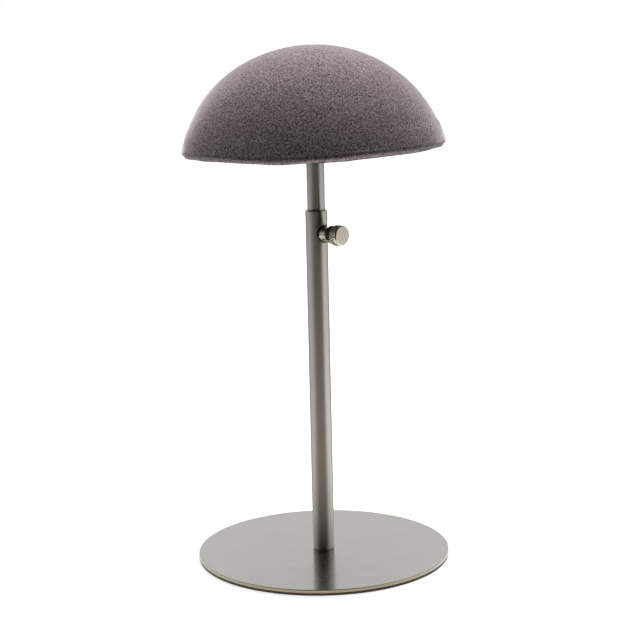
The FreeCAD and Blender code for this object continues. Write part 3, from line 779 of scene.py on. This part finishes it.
def make_clamp_knob():
    """A turned head. On its grip two families of V grooves wind opposite ways about the axis,
    so that diamonds stand between them: at each point the deeper of the two grooves counts.
    The grooves are darker deep down, and painted shade lies round the neck except below."""
    low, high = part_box("clamp_knob")
    radius, back, face = high.y, low.x, high.x
    grip_start = back + COLLAR_LENGTH + FLARE_LENGTH
    grip_end = face - KNOB_CHAMFER
    flare = np.linspace(0.0, 1.0, FLARE_STATIONS)
    neck = np.stack([
        COLLAR_RADIUS + (radius - COLLAR_RADIUS) * flare**FLARE_POWER,
        back + COLLAR_LENGTH + FLARE_LENGTH * flare,
    ], -1)
    outline = section(
        run((KNOB_BORE, back), (COLLAR_RADIUS - COLLAR_ROUND, back), 4),
        bend((COLLAR_RADIUS - COLLAR_ROUND, back + COLLAR_ROUND), COLLAR_ROUND, -90, 0, 4),
        run((COLLAR_RADIUS, back + COLLAR_ROUND), (COLLAR_RADIUS, back + COLLAR_LENGTH), 4),
        neck,
        run((radius, grip_start), (radius, grip_end), 52),
        bend((radius - KNOB_CHAMFER, grip_end), KNOB_CHAMFER, 0, 90, 6),
        run((radius - KNOB_CHAMFER, face), (KNOB_CENTRE, face), 24, (0.0, face), 1),
    )
    points = about_screw(outline, KNOB_COLUMNS)
    distance = outline[:, 1:]
    starts = full_turn(KNOB_COLUMNS) * KNURL_STARTS / (2.0 * np.pi)
    lead = (distance - grip_start) * KNURL_STARTS * KNURL_SLOPE / (2.0 * np.pi * radius)
    grooves = [1.0 - 2.0 * np.abs((starts + way * lead) % 1.0 - 0.5) for way in (-1.0, 1.0)]
    depth = KNURL_DEPTH * (1.0 - np.minimum(GROOVE_SLOPE * np.minimum(*grooves), 1.0))
    fade = smooth_step((distance - grip_start + KNURL_EARLY) / KNURL_RISE)
    fade = fade * smooth_step((grip_end - KNURL_SHORT - distance) / KNURL_FALL)
    depth = np.where(outline[:, :1] > COLLAR_RADIUS, depth * fade, 0.0)
    middle = np.array([0.0, 0.0, SCREW_HEIGHT])
    outward = (points - middle) * np.array([0.0, 1.0, 1.0])
    outward /= np.maximum(np.linalg.norm(outward, axis=-1, keepdims=True), SAME_POINT)
    piece = make_piece("knurled_clamp_knob", points - outward * depth[..., None])
    dress(piece, nickel, "clamp_knob")
    places = rows_of(piece.data.vertices, "co")
    distance, away = places[:, 0], from_screw(places)
    neck_end = grip_start - NECK_SHORT
    sunk = np.clip((radius - away) / (GROOVE_DARK_SHARE * KNURL_DEPTH), 0.0, 1.0)
    groove_dark_neck_shade = np.where((distance > neck_end) & (distance < grip_end), sunk, 0.0)
    # Painted shade on the neck: dark above and at the sides, fading out below
    neck_shade = smooth_step((places[:, 2] - SCREW_HEIGHT + NECK_SHADE_LINE) / NECK_SHADE_FADE)
    on_neck = (distance < neck_end) & (away > COLLAR_RADIUS - NECK_SKIN)
    groove_dark_neck_shade = np.where(on_neck, NECK_PAINTED_SHADE * neck_shade, groove_dark_neck_shade)
    keep_attribute(piece.data, "groove_dark_and_neck_shade", smooth_step(groove_dark_neck_shade))


make_clamp_boss()
make_clamp_stud()
make_clamp_knob()


# The head: a padded dome in a suede cover, with a lining under it

# All turns round the head here are in degrees from the camera's side
COVER_COLUMNS = 560
# The crown's and the sides' radii as shares of the one arc that would join crown and rim
CROWN_RADIUS_SHARE = 1.079
SIDE_RADIUS_SHARE = 0.942
RIM_ROUND = 2.6 * MM
TURN_IN = 12.0 * MM
# Layers of soft lumps: height, spacing and seed
COVER_LUMPS = ((0.30 * MM, 34 * MM, 1), (0.10 * MM, 9 * MM, 2), (0.07 * MM, 2.4 * MM, 3))
SAG_LUMPS = ((0.15 * MM, 26 * MM, 5),)
LINING_LUMPS = ((0.15 * MM, 20 * MM, 6),)
# The crease above the rim: its bell's middle and reach in height, its depth, the least share
# of it round the head, the middle and reach of its deep stretch, and how much painted shade darkens
# the nap in it
CREASE_PLACE = (3.5 * MM, 0.75 * MM)
CREASE_DEPTH = 0.5 * MM
CREASE_LEAST_SHARE = 0.35
CREASE_SIDE = (14.0, 32.0)
CREASE_PAINTED_SHADE = 0.6
# The roll at the rim, with its middle and reach in degrees round the rim's arc
ROLL_SWELL = 0.95 * MM
ROLL_PLACE = (-46.0, 26.0)
# Points up to this far inside the middle of the rim's arc count as outside too
OUTSIDE_MARGIN = 0.1 * MM
# The roll's sag, and its changes round the head: depth, middle and reach
HEM_SAG = 0.45 * MM
SAG_CHANGES = ((0.4 * MM, -14.0, 12.0), (-0.45 * MM, 4.0, 10.0))
# The roll's underside, lighter by painted light from an angle round the rim's arc on
ROLL_PAINTED_LIGHT = 2.4
ROLL_LIGHT_ANGLE = -18.0
ROLL_LIGHT_FADE = 45.0
ROLL_LIGHT_SIDE = (4.0, 52.0)
# How far the rim droops, in millimetres, at each turn
DROOP = (
    (-180, 0.0), (-120, 1.6), (-90, 2.6), (-80, 2.0), (-73, 1.3), (-65, 0.6), (-55, -0.2),
    (-46, -0.5), (-39, -0.4), (-29, 0.0), (-23, 0.4), (-18, 0.7), (-12, 0.7), (-7, 0.4),
    (7, 0.4), (13, 0.2), (18, -0.4), (24, -0.65), (33, -0.75), (43, -0.6), (51, -0.3),
    (60, 0.0), (66, 0.3), (73, 0.9), (80, 1.2), (90, 1.3), (120, 1.0), (180, 0.0),
)
DROOP_REACH = 14.0 * MM
DROOP_INWARD = 3.0 * MM
# The rim stands out to the right and a little to the left: width, middle and reach
SPREADS = ((1.0 * MM, 90.0, 45.0), (0.35 * MM, -90.0, 35.0))
SPREAD_TOP = 2.4 * DROOP_REACH
SPREAD_FADE = 1.6 * DROOP_REACH
LINING_COLUMNS = 288
LINING_HOLE = 3.2 * MM
# The lining waves over its outer share, from the end of its flat share on
LINING_FLAT_SHARE = 0.9
LINING_WAVY_SHARE = 0.1
# Times a point or a way, it leaves out the height
LEVEL = (1.0, 1.0, 0.0)


def layered_lumps(points, layers):
    """Lumps of several sizes added up."""
    return sum(height * lumps(points, size, seed) for height, size, seed in layers)


def with_bells(start, turn, bells):
    """The start plus a bell in the turn for each height, middle and reach."""
    return sum((height * bell(turn, middle, reach) for height, middle, reach in bells), start)


def droop_at(facing):
    """The rim's droop in millimetres at each turn, on straight lines between the given ones."""
    return np.interp(facing, *zip(*DROOP))


def lean_head(points):
    """Turns the head's points about the top of its washer: back, and then to the side by the
    lean, round the line that points at the camera. Then it moves them to the left."""
    pivot = np.array((0.0, 0.0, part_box("head_washer")[1].z))
    turn = Matrix.Rotation(HEAD_LEAN, 3, TOWARDS_CAMERA)
    turn = turn @ Matrix.Rotation(-HEAD_BACK, 3, CAMERA_RIGHT)
    turned = (points - pivot) @ np.array(turn.transposed())
    return turned + pivot - np.array(CAMERA_RIGHT) * HEAD_SHIFT


def dome_section(radius, bottom, top):
    """The cover's half section from crown to turned-under edge: a crown arc about a point on the
    axis, a side arc tangent to it and a rim arc tangent to that, then a flat run inwards. The
    side arc's centre lies where two circles cross, one about each neighbour's centre."""
    rim = np.array([radius - RIM_ROUND, bottom + RIM_ROUND])
    rise = top - rim[1]
    one_arc = (rim[0]**2 + rise**2 - RIM_ROUND**2) / (2.0 * (rise - RIM_ROUND))
    crown_radius = one_arc * CROWN_RADIUS_SHARE
    side_radius = one_arc * SIDE_RADIUS_SHARE
    crown = np.array([0.0, top - crown_radius])
    to_rim = rim - crown
    apart = np.linalg.norm(to_rim)
    near, far = crown_radius - side_radius, side_radius - RIM_ROUND
    ahead = (near**2 - far**2 + apart**2) / (2.0 * apart)
    beside = math.sqrt(near**2 - ahead**2)
    way = to_rim / apart
    side = crown + way * ahead + np.array([-way[1], way[0]]) * beside
    shoulder = math.degrees(math.atan2(*(side - crown)[::-1]))
    flank = math.degrees(math.atan2(*(rim - side)[::-1]))
    return section(
        bend(crown, crown_radius, 90.0, shoulder, 40),
        bend(side, side_radius, shoulder, flank, 88),
        bend(rim, RIM_ROUND, flank, -90.0, 18),
        run((rim[0], bottom), (rim[0] - TURN_IN, bottom), 8),
    )


def make_head_cover():
    """The cover's grid: the dome's section turned about the pole, then moved out along its own
    normal by soft lumps and a fine nap, swelled to a roll at the rim and drawn in along a
    crease above it, deepest on the camera's side. The roll sags by an uneven amount, the whole
    rim droops and spreads, and the head leans. The kept attribute is the tone's factor: low with
    painted shade in the crease, high with painted light on the roll's underside."""
    low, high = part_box("head_cover")
    outline = dome_section(high.x, low.z, high.z)
    points = about_pole(outline, COVER_COLUMNS)
    slope = np.gradient(outline, axis=0)
    normal = np.stack([-slope[:, 1], slope[:, 0]], -1)
    normal /= -np.linalg.norm(normal, axis=1, keepdims=True)
    turn = full_turn(COVER_COLUMNS)
    facing = facing_of(turn)
    outward = about_pole(normal, COVER_COLUMNS)
    radius, above = outline[:, :1], outline[:, 1:] - low.z
    rim = np.array([high.x - RIM_ROUND, low.z + RIM_ROUND])
    rim_angle = np.degrees(np.arctan2(outline[:, 1:] - rim[1], radius - rim[0]))
    outside = radius > rim[0] - OUTSIDE_MARGIN
    under = smooth_step((rim[1] - outline[:, 1:]) / RIM_ROUND)

    height = layered_lumps(points, COVER_LUMPS)
    height += ROLL_SWELL * np.where(outside, bell(rim_angle, *ROLL_PLACE), 0.0)
    deep = bell(facing, *CREASE_SIDE)
    strength = CREASE_LEAST_SHARE + (1.0 - CREASE_LEAST_SHARE) * deep
    crease = bell(above, *CREASE_PLACE) * outside
    height -= CREASE_DEPTH * crease * strength
    points = points + outward * height[..., None]

    sag = with_bells(HEM_SAG, facing, SAG_CHANGES)
    sag = sag + layered_lumps(points * LEVEL, SAG_LUMPS)
    points[..., 2] -= under * sag
    low_down = smooth_step((DROOP_REACH - above) / DROOP_REACH)
    outer = smooth_step((radius - rim[0] + DROOP_INWARD) / DROOP_INWARD)
    points[..., 2] -= low_down * outer * MM * droop_at(facing)
    wide = smooth_step((SPREAD_TOP - above) / SPREAD_FADE) * outer
    wide = wide * with_bells(0.0, facing, SPREADS)
    points[..., 0] += wide * np.cos(turn)
    points[..., 1] += wide * np.sin(turn)

    # Painted light on the roll's underside, and painted shade in the crease
    roll_lit = np.where(outside, smooth_step((ROLL_LIGHT_ANGLE - rim_angle) / ROLL_LIGHT_FADE), 1.0)
    roll_light = ROLL_PAINTED_LIGHT * roll_lit * under * bell(facing, *ROLL_LIGHT_SIDE)
    tone = 1.0 - CREASE_PAINTED_SHADE * crease * strength + roll_light
    cover = make_piece("suede_head_cover", lean_head(points), painted_light_and_shade=tone)
    dress(cover, suede, "head_cover")


def make_head_lining():
    """A cloth-covered card ring with rounded edges, turned about Z, a little wavy at its edge,
    and lifted there wherever the cover's rim is lifted."""
    low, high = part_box("head_lining")
    edge = (high.z - low.z) / 2
    middle, radius = low.z + edge, high.x
    outline = section(
        run((LINING_HOLE, low.z), (radius - edge, low.z), 36),
        bend((radius - edge, middle), edge, -90, 90, 8),
        run((radius - edge, high.z), (LINING_HOLE, high.z), 12),
    )
    points = about_pole(outline, LINING_COLUMNS)
    flat, wavy = LINING_FLAT_SHARE * radius, LINING_WAVY_SHARE * radius
    share = smooth_step((outline[:, :1] - flat) / wavy)
    points[..., 2] += share * layered_lumps(points * LEVEL, LINING_LUMPS)
    facing = facing_of(full_turn(LINING_COLUMNS))
    points[..., 2] -= share * MM * np.minimum(droop_at(facing), 0.0)
    lining = make_piece("cloth_head_lining", lean_head(points), True)
    dress(lining, lining_cloth, "head_lining")


def lean_inner_piece(node, material):
    """A copy of a piece inside the head, leaned with the rest of it."""
    mesh = frame["nodes"][node].data.copy()
    merge_points(mesh, SAME_CAD_POINT)
    mesh.vertices.foreach_set("co", lean_head(rows_of(mesh.vertices, "co")).ravel())
    mesh.materials.clear()
    mesh.update()
    dress(add_object("leaned_" + node, mesh), material, node)


make_head_cover()
make_head_lining()
for inner_node in ("head_padding", "head_shell", "head_board", "flange_nut", "flange_screws"):
    lean_inner_piece(inner_node, carried_over[inner_node])


# The stage, its light and the camera

WHITE = (1.0, 1.0, 1.0)
WARM_ROOM = (1.1, 1.0, 0.885)
FLOOR_RADIUS = 9.0
FLOOR_CORNERS = 64
FLOOR_TINT = 0.45
FLOOR_GLOW = 0.62
# The table's level at the pole, the distance at which half of it is left, and the share of it
# that steel mirrors from straight behind
TABLE_LEVEL = 1.15
TABLE_REACH = 1.2
TABLE_BACK = 0.1
# Steel mirrors less of the table and of the room from the left, and more from the right
LEFT_SHARE = 0.85
RIGHT_SHARE = 1.15
# The other levels: of what steel mirrors, and of what lights the matt pieces
FRONT_LEVEL = 0.78
BOUNCE_NEAR = 2.8
BOUNCE_FRONT = 0.08
MIRRORED_BACK = 0.95
MIRRORED_SIDE = 0.72
MIRRORED_HIGH = 0.3
MIRRORED_FRONT = 0.015
LIT_BACK = 1.05
LIT_FRONT = 0.05
LIT_RIGHT = 0.12
LIT_TOP = 0.2
# Where each change starts and ends: by distance from the pole, in metres
FAR_TABLE = (0.5, 1.05)
FRONT_REACH = (0.05, 0.62)
BOUNCE_REACH = (0.1, 0.36)
# By how far a way points along a line, from -1 to 1
NEAR_WEDGE = (0.36, 0.92)
FAR_WEDGE = (0.0, 0.75)
ROOM_WEDGE = (0.12, 0.8)
TABLE_FROM_BACK = (-0.85, -0.5)
BOUNCE_TO_FRONT = (-0.2, 0.7)
LEFT_TO_RIGHT = (-0.7, 0.7)
MIRRORED_FROM_BACK = (-0.9, -0.3)
LIT_TO_FRONT = (0.1, 0.9)
LIT_TO_RIGHT = (0.2, 0.9)
# By how far a way points up, from 0 to 1
MIRRORED_RISE = (0.0, 0.45)
LIT_RISE = (0.25, 0.95)


def added(tree, first, second):
    return add_node(tree, "Math", {0: first, 1: second}, operation="ADD").outputs[0]


def eased(tree, value, start, end, low=0.0, high=1.0):
    """The value's stretch from start to end, spread over low to high by a smooth step."""
    return between(tree, value, low, high, start, end, kind="SMOOTHSTEP")


def along(tree, way, line):
    """How far a direction points along a line, from -1 to 1."""
    return add_node(
        tree, "VectorMath", {0: way, 1: tuple(line)}, operation="DOT_PRODUCT"
    ).outputs["Value"]


def pool_of_light(tree, distance, level, reach):
    """The level over one plus the squared ratio of the distance to the reach."""
    ratio = add_node(tree, "Math", {0: distance, 1: reach}, operation="DIVIDE").outputs[0]
    square = multiplied(tree, ratio, ratio)
    return add_node(
        tree, "Math", {0: level, 1: added(tree, square, 1.0)}, operation="DIVIDE"
    ).outputs[0]


def leaning(tree, way):
    """A share that grows from the left to the right of the camera's view."""
    rightwards = along(tree, way, CAMERA_RIGHT)
    return eased(tree, rightwards, *LEFT_TO_RIGHT, LEFT_SHARE, RIGHT_SHARE)


def ray_kinds(tree):
    """1 on rays that the camera sends, and 1 on those that shiny or clear pieces send on."""
    path = add_node(tree, "LightPath").outputs
    return path["Is Camera Ray"], added(tree, path["Is Glossy Ray"], path["Is Transmission Ray"])


def room_tint(tree, shiny, wedge):
    """The colour of the light: the room's warmth where a shiny piece mirrors its dark side."""
    return blend_colours(tree, multiplied(tree, shiny, wedge), WHITE, WARM_ROOM)


def make_floor():
    """A pale floor that keeps the stand's shadow. To the camera it is nearly white. Steel mirrors
    a bright table, with a dark wedge on the camera's side that turns left far from the stand.
    Matt pieces are lit by the table's sides, and by its front near the stand."""
    mesh = bpy.data.meshes.new("floor")
    ring = about_pole(np.array([[FLOOR_RADIUS, 0.0]]), FLOOR_CORNERS)[0]
    mesh.from_pydata(ring.tolist(), [], [list(range(len(ring)))])
    floor = add_object("floor", mesh)
    material, tree, shader = new_material("pale_floor")
    tree.nodes.remove(shader)
    place = object_place(tree)
    distance = add_node(tree, "VectorMath", {0: place}, operation="LENGTH").outputs["Value"]
    way = add_node(tree, "VectorMath", {0: place}, operation="NORMALIZE").outputs[0]
    facing = along(tree, way, TOWARDS_CAMERA)
    near_wedge = eased(tree, along(tree, way, NEAR_DARK_WAY), *NEAR_WEDGE)
    far_wedge = eased(tree, along(tree, way, FAR_DARK_WAY), *FAR_WEDGE)
    wedge = mixed(tree, eased(tree, distance, *FAR_TABLE), near_wedge, far_wedge)
    sides = pool_of_light(tree, distance, TABLE_LEVEL, TABLE_REACH)
    backed = multiplied(tree, sides, eased(tree, facing, *TABLE_FROM_BACK, TABLE_BACK, 1.0))
    front = eased(tree, distance, *FRONT_REACH, FRONT_LEVEL, MIRRORED_FRONT)
    mirrored = mixed(tree, wedge, multiplied(tree, backed, leaning(tree, way)), front)
    before = eased(tree, distance, *BOUNCE_REACH, BOUNCE_NEAR, BOUNCE_FRONT)
    bounced = mixed(tree, eased(tree, facing, *BOUNCE_TO_FRONT), sides, before)
    seen_by_camera, shiny = ray_kinds(tree)
    table = add_node(
        tree, "Emission",
        {
            "Color": room_tint(tree, shiny, wedge),
            "Strength": mixed(tree, shiny, bounced, mirrored),
        },
    ).outputs[0]
    matt = add_node(tree, "BsdfDiffuse", {"Color": [FLOOR_TINT] * 3}).outputs[0]
    glow = add_node(tree, "Emission", {"Strength": FLOOR_GLOW}).outputs[0]
    seen = add_node(tree, "AddShader", {0: matt, 1: glow}).outputs[0]
    top_side = add_node(tree, "MixShader", {0: seen_by_camera, 1: table, 2: seen}).outputs[0]
    below = add_node(tree, "NewGeometry").outputs["Backfacing"]
    clear = add_node(tree, "BsdfTransparent").outputs[0]
    either = add_node(tree, "MixShader", {0: below, 1: top_side, 2: clear}).outputs[0]
    tree.links.new(either, tree.nodes["Material Output"].inputs["Surface"])
    mesh.materials.append(material)


def make_sky():
    """White where the camera sees it. Steel mirrors that white from behind and beside the stand,
    and a dim room on the camera's side. Soft light comes most from overhead and behind, more
    from the right than from the left, and little from the camera's side."""
    world = bpy.data.worlds.new("studio")
    bpy.context.scene.world = world
    world.use_nodes = True
    tree = world.node_tree
    way = add_node(tree, "TexCoord").outputs["Generated"]
    level_way = add_node(tree, "VectorMath", {0: way, 1: LEVEL}, operation="MULTIPLY").outputs[0]
    level_way = add_node(tree, "VectorMath", {0: level_way}, operation="NORMALIZE").outputs[0]
    facing = along(tree, level_way, TOWARDS_CAMERA)
    height = add_node(tree, "SeparateXYZ", {0: way}).outputs["Z"]
    risen = eased(tree, height, *MIRRORED_RISE, MIRRORED_SIDE, MIRRORED_HIGH)
    side = multiplied(tree, leaning(tree, level_way), risen)
    behind = mixed(tree, eased(tree, facing, *MIRRORED_FROM_BACK), MIRRORED_BACK, side)
    wedge = eased(tree, along(tree, level_way, ROOM_DARK_WAY), *ROOM_WEDGE)
    mirrored = mixed(tree, wedge, behind, MIRRORED_FRONT)
    soft = eased(tree, facing, *LIT_TO_FRONT, LIT_BACK, LIT_FRONT)
    soft = added(tree, soft, eased(tree, height, *LIT_RISE, 0.0, LIT_TOP))
    rightwards = along(tree, way, CAMERA_RIGHT)
    soft = added(tree, soft, eased(tree, rightwards, *LIT_TO_RIGHT, 0.0, LIT_RIGHT))
    seen_by_camera, shiny = ray_kinds(tree)
    level = mixed(tree, seen_by_camera, mixed(tree, shiny, soft, mirrored), 1.0)
    set_inputs(tree, tree.nodes["Background"], {
        "Color": room_tint(tree, shiny, wedge),
        "Strength": level,
    })


# The lamp's turn from straight behind, and its rise and distance from the place that it lights
LAMP_TURN = math.radians(15.0)
LAMP_RISE = math.radians(64.0)
LAMP_DISTANCE = 1.5
LAMP_SIZE = 0.8
LAMP_POWER = 36.0
AIM_HEIGHT = 0.3


def make_back_lamp():
    """A square soft lamp above and behind the stand, a little to the right. It looks at a place
    high on the pole."""
    lamp = bpy.data.lights.new("back_lamp", "AREA")
    lamp.shape = "SQUARE"
    lamp.size = LAMP_SIZE
    lamp.energy = LAMP_POWER
    holder = add_object("back_lamp", lamp)
    away = -TOWARDS_CAMERA * math.cos(LAMP_TURN) + CAMERA_RIGHT * math.sin(LAMP_TURN)
    height = AIM_HEIGHT + LAMP_DISTANCE * math.sin(LAMP_RISE)
    holder.location = away * LAMP_DISTANCE * math.cos(LAMP_RISE) + Vector((0.0, 0.0, height))
    aim = Vector((0.0, 0.0, AIM_HEIGHT)) - holder.location
    holder.rotation_euler = aim.to_track_quat("-Z", "Y").to_euler()
    holder.visible_glossy = False


def make_camera():
    """Stands at the fitted distance on the camera's side, looks along the pitch and the pan,
    and is rolled about its own line of sight."""
    camera = bpy.data.cameras.new("camera")
    camera.sensor_width = SENSOR_WIDTH
    camera.lens = FOCAL_PIXELS * SENSOR_WIDTH / FRAME_WIDTH
    camera.clip_end = CAMERA_REACH
    holder = add_object("camera", camera)
    level = -TOWARDS_CAMERA * math.cos(CAMERA_PAN) + CAMERA_RIGHT * math.sin(CAMERA_PAN)
    ahead = level * math.cos(CAMERA_PITCH) - Vector((0.0, 0.0, math.sin(CAMERA_PITCH)))
    right = ahead.cross(Vector((0.0, 0.0, 1.0))).normalized()
    up = right.cross(ahead)
    rolled_right = right * math.cos(CAMERA_ROLL) - up * math.sin(CAMERA_ROLL)
    rolled_up = up * math.cos(CAMERA_ROLL) + right * math.sin(CAMERA_ROLL)
    holder.rotation_euler = Matrix((rolled_right, rolled_up, -ahead)).transposed().to_euler()
    holder.location = TOWARDS_CAMERA * CAMERA_DISTANCE + Vector((0.0, 0.0, CAMERA_HEIGHT))
    bpy.context.scene.camera = holder


make_floor()
make_sky()
make_back_lamp()
make_camera()
bpy.context.scene.view_settings.view_transform = "Standard"
